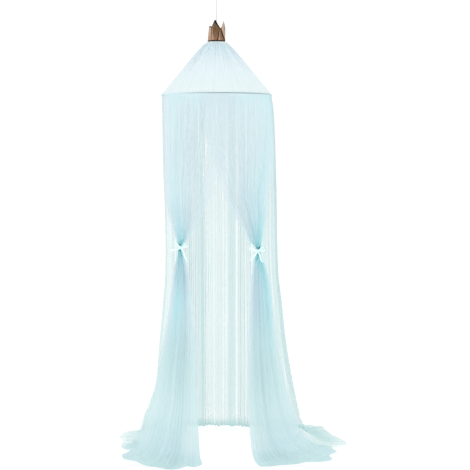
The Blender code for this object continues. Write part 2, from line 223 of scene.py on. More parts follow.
def cloth_material(name, tints, weave):
    """Fine net: a tint that deepens where it is gathered and where painted shade lies in its creases and
    troughs, a cover of the same kind, and light let through.
    """
    made, tree, shader = new_material(name)
    place = node(tree, "UVMap", uv_map="cloth").outputs["UV"]
    gathered, layered, grounded = (
        node(tree, "Attribute", attribute_name=held).outputs["Fac"]
        for held in ("cover", "layers", "grounded")
    )
    streaks = stretched_noise(tree, place, STREAK_SCALE, 3.0)
    lowered = calculate(tree, "MINIMUM", product(tree, grounded, 1 / HANGING_FREE), 1.0)
    shade = mixed(tree, lowered, ramp(tree, layered, *tints), ramp(tree, grounded, *GROUND_TINTS))
    dark, light = 1 - weave.streaks, 1 + STREAK_LIGHT * weave.streaks
    streak_tones = ramp(tree, streaks, (0.35, 3 * (dark,)), (0.65, 3 * (light,)))
    color = mixed(tree, 1.0, shade, streak_tones, "MULTIPLY")

    across = node(tree, "SeparateXYZ", Vector=place).outputs
    threads = [calculate(tree, "SINE", product(tree, across[axis], math.tau / weave.pitch)) for axis in "XY"]
    woven = calculate(tree, "ADD", product(tree, *threads, weave.depth), 1.0)
    uneven = remap(tree, streaks, 1 - weave.streaks, 1 + weave.streaks)
    cover = calculate(tree, "MINIMUM", product(tree, gathered, woven, uneven), 1.0)

    normal = bumped(tree, streaks, 0.1, 0.001)
    fill(tree, shader, Base_Color=color, Normal=normal)
    fill(tree, shader, Roughness=weave.roughness, Specular_IOR_Level=0.1, Sheen_Weight=0.1)
    lit_through = node(tree, "BsdfTranslucent", Color=color, Normal=normal).outputs["BSDF"]
    cloth = mixed_shaders(tree, 0.5, shader.outputs["BSDF"], lit_through)
    clear = node(tree, "BsdfTransparent").outputs["BSDF"]
    fill(tree, tree.nodes["Material Output"], Surface=mixed_shaders(tree, cover, clear, cloth))
    return made


def grained_material(name, scale, detail, tones, strength, distance, **constants):
    """A material whose colour and surface vary with one noise."""
    made, tree, shader = new_material(name)
    grain = stretched_noise(tree, object_place(tree), scale, detail)
    normal = bumped(tree, grain, strength, distance)
    fill(tree, shader, Base_Color=ramp(tree, grain, *tones), Normal=normal, **constants)
    return made


def copper_material():
    """Folded foil: each facet has its own tone, copper with painted reflection and shade, with brushed and
    crumpled variation over it.
    """
    made, tree, shader = new_material("copper_look")
    copper_and_painted_light = node(tree, "VertexColor", layer_name="copper_and_painted_light").outputs["Color"]
    brushed = stretched_noise(tree, object_place(tree), (190, 190, 70), 3.0)
    crumpled = ramp(tree, brushed, (0.3, (0.52, 0.5, 0.48)), (0.7, (1.1, 1.06, 1.0)))
    fill(tree, shader, Base_Color=mixed(tree, 0.75, copper_and_painted_light, crumpled, "MULTIPLY"), Metallic=0.75)
    fill(tree, shader, Normal=bumped(tree, brushed, 0.25, 0.001), Roughness=remap(tree, brushed, 0.3, 0.48))
    return made


SATIN_TONES = (0.3, (0.7, 0.93, 0.92)), (0.7, (0.82, 0.98, 0.98))
CORD_TONES = (0.25, (0.42, 0.46, 0.5)), (0.75, (0.62, 0.67, 0.7))
HOOP_BARE_SIDE = (-0.35, 0.94, 0)  # the way from the hoop's bare arc to its covered one
COVERED_FROM, COVERED_TO = -0.28, -0.14  # along that way, where the cone's edge comes to cover it


def hoop_material():
    """The hoop's binding, dark where it shows in front and pale where the cone's cloth folds over it."""
    made, tree, shader = new_material("hoop_look")
    binding = stretched_noise(tree, object_place(tree), (60, 60, 400), 3.0)
    bare = ramp(tree, binding, (0.3, (0.17, 0.29, 0.31)), (0.7, (0.29, 0.45, 0.48)))
    covered = ramp(tree, binding, (0.3, (0.53, 0.69, 0.74)), (0.7, (0.62, 0.78, 0.82)))
    along = node(tree, "VectorMath", operation="DOT_PRODUCT", Vector=object_place(tree))
    along.inputs[1].default_value = HOOP_BARE_SIDE
    behind = remap(tree, along.outputs["Value"], 0, 1, COVERED_FROM, COVERED_TO)
    normal = bumped(tree, binding, 0.3, 0.0005)
    fill(tree, shader, Base_Color=mixed(tree, behind, bare, covered), Normal=normal, Roughness=0.6)
    return made


# -------- the hanging surface


def rows_of(kind, *values):
    return [kind(*row) for row in values]


# The wall's reach from the axis to each side, at heights over the floor.
Wall = namedtuple("Wall", "height right left front back")
WALLS = rows_of(
    Wall,
    (1.962, 0.3, 0.3, 0.3, 0.3),
    (1.9, 0.309, 0.299, 0.303, 0.301),
    (1.8, 0.317, 0.298, 0.305, 0.301),
    (1.66, 0.325, 0.297, 0.308, 0.302),
    (1.5, 0.33, 0.294, 0.31, 0.3),
    (1.39, 0.333, 0.291, 0.312, 0.298),
    (1.17, 0.337, 0.287, 0.314, 0.294),
    (1, 0.343, 0.289, 0.31, 0.292),
    (0.83, 0.362, 0.302, 0.306, 0.291),
    (0.6, 0.388, 0.325, 0.304, 0.291),
    (0.375, 0.426, 0.345, 0.306, 0.293),
    (0.26, 0.449, 0.377, 0.312, 0.295),
    (0.145, 0.47, 0.418, 0.324, 0.298),
)

# Where a sheet is at a height: its two edges as directions, and in millimetres the depth of its folds and of
# the fine pleats on them, and how far its start and its end stand out over the wall.
Drape = namedtuple("Drape", "height start end fold pleat start_layer end_layer", defaults=(0, 0))
MILLIMETRE = 0.001
BACK_DRAPE = rows_of(
    Drape,
    (1.962, -20, 200, 0.5, 0.6, -2.2, -2.2), (1.9, -20, 200, 3, 2.5, -2.2, -2.2),
    (1.75, -20, 200, 7, 3.5, -2.2, -2.2), (1.15, -20, 200, 11, 4, -2.2, -2.2),
    (0.6, -19, 199, 14, 4.2, -2.2, -2.2), (0.26, -16, 196, 15, 4.2, -2.2, -2.2),
    (0.145, -14, 194, 14, 4, -2.2, -2.2), (0.013, -12, 192, 5, 3), (0.004, -10, 190, 4, 2),
)
LEFT_DRAPE = rows_of(
    Drape,
    (1.962, 177, 288.5, 0.5, 0.3, 2.2, 2.2), (1.86, 178, 287, 3, 1.1, 2, 12),
    (1.66, 183, 279, 6, 1.7, 2, 14), (1.535, 188, 270.5, 8, 1.7, 3, 14), (1.44, 193, 264.5, 10, 1.7, 4, 8),
    (1.34, 203, 257, 12, 2.2, 4, 0), (1.27, 213, 249.5, 13, 1.7), (1.2, 222, 240, 13, 1.1),
    (1.166, 226.3, 232.7, 11, 0.4), (1.142, 226.3, 232.7, 11, 0.4), (1.11, 225, 234.5, 12, 0.8),
    (1.06, 220.5, 238.5, 14, 1.4), (0.97, 216, 242, 16, 1.9), (0.87, 212, 244, 16, 1.5),
    (0.67, 204.5, 247.5, 17, 1.5, 4, 0), (0.5, 198, 248, 18, 1.5, 10, 0),
    (0.35, 194, 249.5, 17, 1.5, 14, 0), (0.145, 189, 252.5, 14, 1.5, 16, 0),
    (0.037, 187, 254.5, 9, 1.9, 24, 0), (0.013, 186, 256, 6, 1.7, 18, 0),
    (0.004, 185, 256.6, 5, 1.1, 14, 0),
)
RIGHT_DRAPE = rows_of(
    Drape,
    (1.962, 253.5, 363, 0.5, 0.3), (1.86, 255, 360, 2.5, 1.1, 0, 2), (1.66, 263, 348, 5, 1.7, 0, 3),
    (1.535, 270.5, 338, 8, 1.7, 0, 3), (1.42, 277.5, 328, 10, 2.2), (1.33, 286.5, 325.5, 12, 2.2),
    (1.24, 296.5, 320.5, 13, 1.7), (1.185, 303, 317.5, 13, 1.1), (1.15, 309.4, 315.6, 11, 0.4),
    (1.126, 309.4, 315.6, 11, 0.4), (1.09, 307.5, 318, 12, 0.8), (1.03, 305.5, 323.5, 14, 1.4),
    (0.95, 303.5, 328.5, 16, 1.9), (0.8, 302, 331.5, 16, 2.2), (0.6, 300.8, 334, 17, 1.5),
    (0.46, 300.2, 337, 18, 1.5, 0, 3), (0.3, 299.8, 340, 17, 1.5, 0, 8), (0.145, 300, 344, 14, 1.5, 0, 14),
    (0.037, 300.5, 348, 9, 1.9, 0, 20), (0.013, 300.8, 350, 6, 1.7, 0, 16),
    (0.004, 301, 352, 5, 1.1, 0, 14),
)

# The hem's outline on the floor, as its reach from the axis in each direction.
Hem = namedtuple("Hem", "angle reach")
BACK_HEM = rows_of(
    Hem,
    (-12, 0.645), (-7, 0.66), (-2, 0.738), (1, 0.736), (6, 0.712), (11, 0.692), (16, 0.682),
    (21, 0.684), (25, 0.702), (30, 0.66), (36, 0.575), (48, 0.44), (58, 0.352), (82, 0.322),
    (108, 0.338), (127, 0.42), (145, 0.5), (152, 0.545), (159, 0.584), (165, 0.585), (171, 0.56),
    (176, 0.54), (181, 0.544), (186, 0.532), (192, 0.49),
)
LEFT_HEM = rows_of(
    Hem,
    (184, 0.53), (188, 0.545), (192, 0.535), (197, 0.503), (202, 0.56), (208, 0.572), (216, 0.53),
    (222, 0.532), (230, 0.505), (238, 0.488), (243, 0.458), (247, 0.4), (252, 0.398), (257, 0.35),
)
RIGHT_HEM = rows_of(
    Hem,
    (300, 0.44), (308, 0.475), (312, 0.49), (320, 0.55), (324, 0.568), (329, 0.642), (334, 0.685),
    (339, 0.652), (344, 0.682), (348, 0.655), (352, 0.64),
)

# The rows of a sheet on the floor: the share of the way from the wall to the hem, and the height.
Row = namedtuple("Row", "run_out height")
HEM_ROWS = rows_of(
    Row,
    (0, FLARE_HEIGHT), (0.12, 0.08), (0.3, 0.037), (0.52, 0.013), (0.76, 0.006), (1, 0.004),
)


def read(table, column, values):
    """A column of a table at values of its first column, on a cubic that stays between the rows."""
    rows = sorted((row[0], getattr(row, column)) for row in table)
    x = np.array([row[0] for row in rows], float)
    y = np.array([row[1] for row in rows], float)
    slopes = np.diff(y) / np.diff(x)
    tangents = np.zeros(len(x))
    before, after = slopes[:-1], slopes[1:]
    same = before * after > 0
    tangents[1:-1][same] = 2 * before[same] * after[same] / (before[same] + after[same])
    values = np.clip(np.asarray(values, float), x[0], x[-1])
    i = np.clip(np.searchsorted(x, values, side="right") - 1, 0, len(x) - 2)
    width = x[i + 1] - x[i]
    t = (values - x[i]) / width
    bend = t * (1 - t) ** 2 * tangents[i] - t**2 * (1 - t) * tangents[i + 1]
    return y[i] + (y[i + 1] - y[i]) * smooth_step(t) + width * bend


def wall_reach(angle, height):
    """How far the hanging cloth stands from the axis in a direction: quarters of four ellipses."""
    across, deep = np.cos(np.radians(angle)), np.sin(np.radians(angle))
    side = np.where(across > 0, read(WALLS, "right", height), read(WALLS, "left", height))
    face = np.where(deep > 0, read(WALLS, "back", height), read(WALLS, "front", height))
    return 1 / np.hypot(across / side, deep / face)


def wander(value, *terms):
    """A smooth uneven line: a sum of (size, turns, start) sines."""
    return sum(size * np.sin(math.tau * turns * value + start) for size, turns, start in terms)


def part_way(value, start, end):
    """How far a value has come from a start to an end, from 0 to 1."""
    return np.clip((value - start) / (end - start), 0, 1)


def smooth_step(t):
    return t * t * (3 - 2 * t)


def turned_over(amount, pitch, phase):
    """How far the flanks of pleats lean sideways: at 1 they stand upright, and over 1 they fold back."""
    return amount * pitch / (4 * math.pi) * np.sin(2 * phase)


DRAWN_IN = 0.06  # how far above and below its tie a panel shows the creases of it
ROW_STEP = 0.025  # between two rows of a sheet on the wall
FINE_STEP = 0.004  # between two rows near a tie
HEM_STEPS = 26  # rows of a sheet on the floor


def sheet_rows(tied_at):
    """Heights and run-outs from the hoop down the wall, closer together at a tie, and out over the floor."""
    stops, spacing = [TOP_EDGE, FLARE_HEIGHT], [ROW_STEP]
    if tied_at:
        stops[1:1] = [tied_at + DRAWN_IN, tied_at - DRAWN_IN]
        spacing = [ROW_STEP, FINE_STEP, ROW_STEP]
    heights = [TOP_EDGE]
    for top, bottom, apart in zip(stops, stops[1:], spacing):
        heights.extend(np.linspace(top, bottom, int(math.ceil((top - bottom) / apart)) + 1)[1:])
    run = np.linspace(0, 1, HEM_STEPS + 1)[1:]
    outs = np.concatenate([np.zeros(len(heights)), run])
    return np.concatenate([heights, read(HEM_ROWS, "height", run)]), outs


# A sheet: its drape and hem, how many main folds it has, how many columns of its mesh make a pleat, its
# pleats, veil and slits, its look, its tie's height, and the place from which the painted crease shade fans
# out under it.
Sheet = namedtuple("Sheet", "name node drape hem folds columns pleats veil slits look tied_at fans_from")
# Its pleats: how many, how far they fold over, how bold the main folds are, how unevenly the pleats lie,
# how far they part, how much more net there is below the ties and on the floor, and where sines start.
Pleats = namedtuple("Pleats", "count fold_over bold uneven parted below pooled seed")
Hung = namedtuple("Hung", "points cloth place gather heights outs width length")
EDGE_FOLDS = 0.22  # depth of the folds at a sheet's edges, as a share of their depth inside it
EDGE_SHARE = 0.28  # share of the width over which they deepen
CALMED = 0.9  # how far the folds flatten on the canopy's right and left, where they make its outline
GATHER_SPAN = 0.032  # share of the width over which the gathering is averaged
CRUMPLE = 0.01  # height of the ripples on the floor
LOWEST = 0.0045  # height of the net's lowest points
USUAL_FROM = 0.73  # a sheet's usual width is the middle one of those from this height up


def hung_sheet(sheet):
    """A gathered sheet: rows of points down the wall and out over the floor, and how its cloth lies on them.

    The main folds are the solid's, with fine pleats on them. A point's gather is how much more net there is
    than where the sheet has its usual width."""
    pleats, seed = sheet.pleats, sheet.pleats.seed
    heights, outs = sheet_rows(sheet.tied_at)
    columns = pleats.count * sheet.columns
    share = np.linspace(0, 1, columns + 1)[None, :]
    h, out = heights[:, None], outs[:, None]
    start, end = (read(sheet.drape, column, heights)[:, None] for column in ("start", "end"))
    fold, depth, start_layer, end_layer = (
        read(sheet.drape, column, heights)[:, None] * MILLIMETRE for column in Drape._fields[3:]
    )

    # Main folds, shallower near the edges, and raised to lie on the floor.
    uneven = np.clip(share + wander(share, (0.006, 3.3, 1.0)), 0, 1)
    uneven = np.where((share == 0) | (share == 1), share, uneven)
    from_edge = np.minimum(share, 1 - share)
    inside = np.clip(from_edge / EDGE_SHARE, 0, 1)
    near_edge = EDGE_FOLDS + (1 - EDGE_FOLDS) * smooth_step(inside)
    bold = 0.8 + wander(share, (0.2, 2.3, 0.6))
    resting = np.minimum(1, 2 * out)
    layer = start_layer + (end_layer - start_layer) * smooth_step(share)
    main = pleats.bold * fold * near_edge * bold * (np.cos(math.tau * share * sheet.folds) + resting)

    # Pleats, of uneven widths and depths that change on the way down.
    drift = wander(share, (0.45, 3.1, seed), (0.35, 7.3, 2.1 * seed))
    drift = drift + wander(share, (0.22, 13.7, 3.3 * seed), (0.12, 23.0, 0.7 * seed))
    phase = math.tau * (
        pleats.count * share
        + pleats.uneven * drift
        + wander(h, (0.1, 0.9, seed), (0.05, 2.3, 2.7 * seed)) * np.sin(math.tau * 5 * share + seed)
    )
    nth = share * pleats.count
    size = 1 + wander(nth, (0.3, 0.217, seed), (0.22, 0.391, 1.7 * seed)) + wander(h, (0.12, 1.7, seed))
    amount = pleats.fold_over * (
        1
        + wander(nth, (0.35, 0.173, 2.3 * seed), (0.25, 0.33, 0.9 * seed))
        + wander(h, (0.15, 1.1, 1.9 * seed))
    )
    base_angle = start + (end - start) * uneven
    calm = 1 - CALMED * np.abs(np.cos(np.radians(base_angle))) ** 4
    fade = np.minimum(1, 14 * from_edge) * (0.4 + 0.6 * inside) * calm
    pitch = np.abs(end - start) / pleats.count
    angle = base_angle + turned_over(amount, pitch, phase) * fade
    pleat = depth * near_edge * size * calm * (np.cos(phase) - 0.8 + 1.8 * resting)
    main = main * np.where(out > 0, 1, calm)

    # From the wall the sheet runs out to its hem, and its folds turn from outwards to upwards.
    foot = wall_reach(base_angle, np.full_like(h, FLARE_HEIGHT))
    on_floor = foot * (1 - out) + read(sheet.hem, "reach", base_angle) * out
    reach = np.where(out > 0, on_floor, wall_reach(base_angle, h))
    turned = np.radians(angle)
    lift = np.minimum(1, 1.6 * out)
    flat = 1 - lift
    away = (layer + main + pleat) / np.hypot(flat, lift)
    radial = reach + away * flat
    x = radial * np.cos(turned)
    y = radial * np.sin(turned)
    ripples = np.abs(wander(x * 7 + y * 3 + seed, (0.5, 1.0, 0.3), (0.3, 2.3, 1.1)))
    ripples = ripples * np.abs(wander(y * 6 - x * 2, (0.6, 1.0, 1.9), (0.4, 1.7, 0.2)))
    z = h + away * lift + CRUMPLE * ripples * np.sin(np.pi * np.clip(out, 0, 1)) ** 0.7
    points = np.stack([x, y, np.maximum(z, LOWEST) - LOOP_HEIGHT], -1)

    # The cloth is gathered where its columns stand close together.
    steps = np.linalg.norm(np.diff(points, axis=1), axis=2)
    window = int(GATHER_SPAN * columns)
    kernel = np.hanning(window + 2)[1:-1]
    kernel /= kernel.sum()
    padded = np.pad(steps, ((0, 0), (window, window)), mode="edge")
    spread = np.array([np.convolve(row, kernel, "same") for row in padded])[:, window:-window]
    spread = np.concatenate([spread[:, :1], (spread[:, 1:] + spread[:, :-1]) / 2, spread[:, -1:]], axis=1)
    widths = steps.sum(1)
    free = np.linspace(USUAL_FROM, TOP_EDGE, 50)
    usual_width = float(np.median(np.interp(free, heights[::-1], widths[::-1])))
    flat_width = max(usual_width, float(widths[0]))
    gather = usual_width / columns / np.maximum(spread, 1e-5)
    down = np.linalg.norm(np.diff(points, axis=0), axis=2).mean(1)
    down = np.concatenate([[0], np.cumsum(down)])
    cloth = np.stack(np.broadcast_arrays(share * flat_width, down[:, None]), -1)
    place = (angle - start) / (end - start)
    return Hung(points, cloth, place, gather, heights, outs, flat_width, float(down[-1]))


# How much net there is across a sheet, from start to end: 1 hides some six tenths of what is behind.
Veil = namedtuple("Veil", "share depth")
BACK_VEIL = rows_of(
    Veil,
    (0, 0.55), (0.07, 0.68), (0.12, 0.78), (0.2, 0.92), (0.36, 0.88), (0.43, 0.84), (0.46, 0.74),
    (0.54, 0.74), (0.565, 1), (0.58, 1.5), (0.6, 1.12), (0.66, 0.9), (0.8, 0.57), (0.88, 0.42),
    (0.93, 0.37), (1, 0.32),
)
LEFT_VEIL = rows_of(
    Veil,
    (0, 0.1), (0.1, 0.3), (0.25, 0.95), (0.4, 1.5), (0.65, 1.32), (0.8, 0.75), (1, 0.4),
)
RIGHT_VEIL = rows_of(
    Veil,
    (0, 0.4), (0.2, 0.78), (0.4, 1.34), (0.6, 1.6), (0.75, 1.64), (0.88, 1.18), (1, 0.32),
)

# Strips of single net where two pleats part: the place across the sheet, and the heights they run between.
Slit = namedtuple("Slit", "place top bottom")
SLIT_WIDTH = 0.0042
SLIT_THINNED = 0.72  # how much of the net is gone in the middle of a slit
SLIT_TOP, SLIT_BOTTOM = 0.05, 0.12  # lengths over which a slit opens and closes
BACK_SLITS = rows_of(
    Slit,
    (0.344, 1.94, 1.54), (0.373, 1.88, 1.74), (0.47, 1.5, 1.34), (0.497, 1.91, 1.8),
    (0.505, 1.55, 1.42), (0.555, 1.78, 1.54), (0.571, 1.62, 1.36), (0.581, 1.8, 1.52),
    (0.595, 1.94, 1.62), (0.631, 1.56, 1.34), (0.655, 1.48, 1.3), (0.679, 1.96, 1.78),
    (0.695, 1.66, 1.44),
)
LEFT_SLITS = rows_of(
    Slit,
    (0.49, 1.62, 1.4), (0.52, 1.92, 1.8), (0.575, 1.93, 1.66), (0.66, 1.88, 1.5), (0.7, 1.82, 1.38),
    (0.735, 1.9, 1.46), (0.765, 1.78, 1.36), (0.8, 1.74, 1.32), (0.84, 1.7, 1.4),
)
RIGHT_SLITS = rows_of(
    Slit,
    (0.33, 1.68, 1.48), (0.39, 1.88, 1.56), (0.415, 1.8, 1.42), (0.52, 1.92, 1.7),
)

# Painted shade in creases that run to a tie: how they slope to the sheet's sides, how thick and long they
# are, and how dark.
# The short ones paint the shade under the bow's loops round the tie, and on a part of the sheet broad ones
# fan out under it.
CreaseShades = namedtuple("CreaseShades", "steep thick reach strength")
SHORT_SHADES = CreaseShades(0.04, 0.0037, 0.03, 1.0)
FANNED_SHADES = CreaseShades(0.21, 0.016, DRAWN_IN, 0.75)
CREASE_GAP = 0.006  # how far above and below the tie they start
CREASE_END = 0.012  # length over which they fade
CREASE_SHADE = 1.15  # how far a crease's painted shade raises how much lies together, up to the tint's darkest stop
HEM_WIDTH = 0.01
DOUBLED = 1.3  # how much more net there is in a hem
TOP_GATHERED, TOP_REACH = 0.22, 0.05  # how much more at the hoop, and how far down that fades
# Ranges of heights, and of the way out to the hem, over which a sheet changes.
BELOW_TIES = (1.15, 0.8)
HANGS_LOW = (0.95, 0.45)
AT_FOOT = (0.27, 0.1)
AT_HEM = (0.14, 0.02)
LIES = (0.05, 0.55)
ENDS = (0.7, 1.0)


def cover_of(sheet, hung):
    """How much of the background the net hides, how much of it lies together, and how low it hangs.

    It hides more where it is gathered and in its doubled hems, and less where its pleats part. How much lies
    together also carries painted shade in the creases at a tie."""
    pleats, seed, place = sheet.pleats, sheet.pleats.seed, hung.place
    h, out = hung.heights[:, None], hung.outs[:, None]
    u, v = hung.cloth[..., 0], hung.cloth[..., 1]
    share = u / hung.width
    parting = np.sin(math.tau * (19 * place + 0.3 * np.sin(9 * place + seed) + 0.03 * v))
    parting = parting * np.sin(math.tau * (43 * place + 0.4 * np.sin(17 * place + 2 * seed) - 0.02 * v))
    depth = read(sheet.veil, "depth", share) * hung.gather * (1 - pleats.parted * np.clip(parting, 0, 1) ** 2)
    for slit in sheet.slits:
        beside = (place - slit.place) * hung.width / SLIT_WIDTH
        opened = part_way(h, slit.top, slit.top - SLIT_TOP)
        opened = opened * part_way(h, slit.bottom, slit.bottom + SLIT_BOTTOM)
        depth = depth * (1 - SLIT_THINNED * np.exp(-(beside**2)) * opened)
    depth = depth * (1 + TOP_GATHERED * np.exp((h - TOP_EDGE) / TOP_REACH))
    layers = 1 - np.exp(-0.35 * depth)
    depth = depth * (1 + pleats.below * smooth_step(part_way(h, *BELOW_TIES)))

    lying = part_way(out, *LIES)
    grounded = 0 * depth
    if sheet.tied_at:
        foot = part_way(h, *AT_FOOT)
        lowered = smooth_step(part_way(h, *HANGS_LOW))
        grounded = grounded + 0.5 * lowered + 0.5 * np.maximum(lying, 0.24 * foot)
    else:
        # Between the panels the back's hem lies in small thin bunches.
        thinned = part_way(h, *AT_HEM) * part_way(out, 0.5, 0) * part_way(np.abs(place - 0.5), 0.24, 0.09)
        bunches = np.abs(np.sin(math.tau * (21 * place + 22 * h)) * np.sin(math.tau * (17 * place - 19 * h)))
        depth = depth * (1 - thinned * (0.8 - 0.6 * bunches))
    depth = depth * (1 + pleats.pooled * smooth_step(lying)) * (1 - 0.6 * part_way(out, *ENDS))
    hem = (u < HEM_WIDTH) | (u > hung.width - HEM_WIDTH) | (v > hung.length - HEM_WIDTH)
    depth = np.where(hem, DOUBLED * depth, depth)
    cover = np.clip(1 - np.exp(-depth), 0.03, 0.97)

    # Painted shade: dark lines along the creases at the tie and under the bow raise the layers to the tint's
    # darkest stop.
    if sheet.tied_at:
        from_tie = np.abs(h - sheet.tied_at)
        fans = (h < sheet.tied_at) & (share > sheet.fans_from)
        steep, thick, reach, strength = (np.where(fans, *pair) for pair in zip(FANNED_SHADES, SHORT_SHADES))
        creases = np.exp(-(((from_tie - CREASE_GAP - steep * np.abs(share - 0.5)) / thick) ** 2))
        creases = creases * part_way(from_tie, reach, reach - CREASE_END) * strength
        layers = layers + (CREASE_SHADE - layers) * creases
    return cover, layers, grounded


def grid_mesh(points, cloth, cover, layers, grounded, closed=False):
    """A mesh on rows of points, with its cloth coordinates and what its material reads at each point."""
    rows, columns = points.shape[:2]
    mesh = bpy.data.meshes.new("grid")
    vertices = points.reshape(-1, 3)
    index = np.arange(rows * columns).reshape(rows, columns)
    right = np.roll(index, -1, axis=1) if closed else index[:, 1:]
    left = index if closed else index[:, :-1]
    quads = np.stack([left[:-1], left[1:], right[1:], right[:-1]], -1).reshape(-1, 4)
    mesh.vertices.add(len(vertices))
    mesh.vertices.foreach_set("co", vertices.ravel())
    mesh.loops.add(quads.size)
    mesh.loops.foreach_set("vertex_index", quads.ravel())
    mesh.polygons.add(len(quads))
    mesh.polygons.foreach_set("loop_start", np.arange(0, quads.size, 4))
    mesh.update(calc_edges=True)
    mesh.validate()
    layer = mesh.uv_layers.new(name="cloth")
    layer.data.foreach_set("uv", cloth.reshape(-1, 2)[quads.ravel()].ravel())
    for held, values in (("cover", cover), ("layers", layers), ("grounded", grounded)):
        mesh.attributes.new(held, "FLOAT", "POINT").data.foreach_set("value", values.ravel())
    mesh.shade_smooth()
    return mesh


def add_piece(name, mesh, look, replaced):
    mesh.name = name
    made = bpy.data.objects.new(name, mesh)
    bpy.context.scene.collection.objects.link(made)
    mesh.materials.append(look)
    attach(made, "root")
    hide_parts(replaced)
    return made


back_look = cloth_material("back_net_look", BACK_TINTS, BACK_WEAVE)
panel_look = cloth_material("panel_net_look", PANEL_TINTS, PANEL_WEAVE)
BACK_PLEATS = Pleats(50, fold_over=1.25, bold=0.6, uneven=0.8, parted=0.55, below=0, pooled=1.7, seed=1)
LEFT_PLEATS = Pleats(80, fold_over=0.35, bold=0.16, uneven=0.3, parted=0.12, below=1.7, pooled=3, seed=2)
RIGHT_PLEATS = LEFT_PLEATS._replace(below=1, seed=3)
BACK = (BACK_DRAPE, BACK_HEM, 13, 12, BACK_PLEATS, BACK_VEIL, BACK_SLITS, back_look, None, None)
LEFT = (LEFT_DRAPE, LEFT_HEM, 6, 8, LEFT_PLEATS, LEFT_VEIL, LEFT_SLITS, panel_look, LEFT_TIED_AT, 0.5)
RIGHT = (RIGHT_DRAPE, RIGHT_HEM, 6, 8, RIGHT_PLEATS, RIGHT_VEIL, RIGHT_SLITS, panel_look, RIGHT_TIED_AT, 0)
SHEETS = rows_of(
    Sheet,
    ("back_net", "back_curtain", *BACK),
    ("left_net", "left_front_panel", *LEFT),
    ("right_net", "right_front_panel", *RIGHT),
)

for sheet in SHEETS:
    hung = hung_sheet(sheet)
    mesh = grid_mesh(hung.points, hung.cloth, *cover_of(sheet, hung))
    piece = add_piece(sheet.name, mesh, sheet.look, sheet.node)


# -------- cone

# The cone's profile from the cord out to the hoop, the depth of its main gathers and of its fine ones.
CONE_REACH = (CORD_HOLE, 0.03, 0.048, 0.064, 0.092, 0.145, 0.22, HOOP_RADIUS)
CONE_HEIGHT = (NECK_HEIGHT, NECK_HEIGHT, NECK_HEIGHT - 0.0015, 2.234, 2.206, 2.146, 2.06, 1.96505)
CONE_FOLD = (0, 0, 0.0006, 0.0026, 0.003, 0.002, 0.0008, 0)
CONE_FINE = (0, 0.0002, 0.0012, 0.0026, 0.0026, 0.0014, 0.0006, 0.0001)
# Rows of the cone between two reaches.
CONE_ROWS = ((CORD_HOLE, 0.048, 7), (0.048, 0.12, 19), (0.12, HOOP_RADIUS, 23))
MAIN_GATHERS, FINE_GATHERS = 14, 48
CONE_COLUMNS = MAIN_GATHERS * FINE_GATHERS
CONE_FOLD_OVER = 1.6
CONE_ROUND, CONE_LENGTH, CONE_AREA = 1.885, 0.43, 0.42
# Down the slant from the cord: how much the cloth hides, how much of it lies together, and how much painted
# shade the troughs of the gathers add to that.
CONE_COVER = ((0, 0.06, 0.12, 0.4), (0.97, 0.94, 0.88, 0.84))
CONE_LAYERS = ((0, 0.052, 0.06, 0.068, 0.09, 0.2, 0.4), (0.25, 0.25, 0.35, 0.72, 0.62, 0.5, 0.35))
CONE_TROUGH_SHADE = ((0, 0.056, 0.068, 0.15, 0.35), (0.05, 0.06, 0.25, 0.09, 0.0))
CONE_EDGE_ROWS, CONE_EDGE_COVER = 3, 0.96  # where the cloth is doubled over the hoop


def straight(at, places, values):
    """Values at the places between, on straight lines: one row each."""
    return np.interp(at, places, values)[:, None]


def cone_net():
    reach = [np.linspace(inner, outer, rows, endpoint=False) for inner, outer, rows in CONE_ROWS]
    reach = np.concatenate([*reach, [HOOP_RADIUS]])
    turn = np.arange(CONE_COLUMNS)[None, :] / CONE_COLUMNS
    height, fold, fine = (straight(reach, CONE_REACH, held) for held in (CONE_HEIGHT, CONE_FOLD, CONE_FINE))
    main = np.cos(math.tau * MAIN_GATHERS * turn) * (0.8 + wander(turn, (0.2, 5, 0)))
    phase = math.tau * FINE_GATHERS * turn + wander(turn, (1.3, 5, 0), (0.9, 11, 1))
    away = fold * main + fine * np.cos(phase) * (1 + wander(turn, (0.5, 7, 0)))
    leaning = turned_over(CONE_FOLD_OVER, math.tau / FINE_GATHERS, phase) * np.clip(fine / 0.0016, 0, 1)
    angle = math.tau * turn + leaning
    r = reach[:, None] + 0.78 * away  # the gathers stand out square to the slant
    z = height + 0.62 * away
    points = np.stack(np.broadcast_arrays(r * np.cos(angle), r * np.sin(angle), z - LOOP_HEIGHT), -1)
    slant = np.concatenate([[0], np.cumsum(np.hypot(np.diff(reach), np.diff(height[:, 0])))])
    cloth = np.stack(np.broadcast_arrays(turn * CONE_ROUND, slant[:, None]), -1)

    trough = -main - 0.7 * np.cos(phase)
    cover = straight(slant, *CONE_COVER) * np.ones_like(turn)
    cover[-CONE_EDGE_ROWS:] = CONE_EDGE_COVER
    # Painted shade in the troughs of the gathers deepens the tint there.
    layers = np.clip(straight(slant, *CONE_LAYERS) + straight(slant, *CONE_TROUGH_SHADE) * trough, 0, 1)
    return grid_mesh(points, cloth, cover, layers, 0 * layers, closed=True)


top_cloth = cloth_material("top_cloth_look", TOP_TINTS, TOP_WEAVE)
cone = add_piece("cone_net", cone_net(), top_cloth, "cone_top")


# -------- crown

CROWN_BASE = NECK_HEIGHT + 0.0017
CROWN_FOOT = 0.0485
CROWN_POINT, POINT_HEIGHT = 0.0475, 0.1  # its reach from this height up
CROWN_DIP_IN = 0.0035  # how far the dips between its points lie inside
CROWN_TURN = 0.0045  # height of the edge turned in at the foot, dark with painted shade
CROWN_EDGE_IN = 0.985
CROWN_LEAN = 0.045  # how far it leans to the right over its height
CROWN_SHADED = -0.035  # painted shade: its turned-in edge is darkest in front of this
FOIL = 0.0012
FOIL_EDGE = 0.0003  # width of its rounded edges

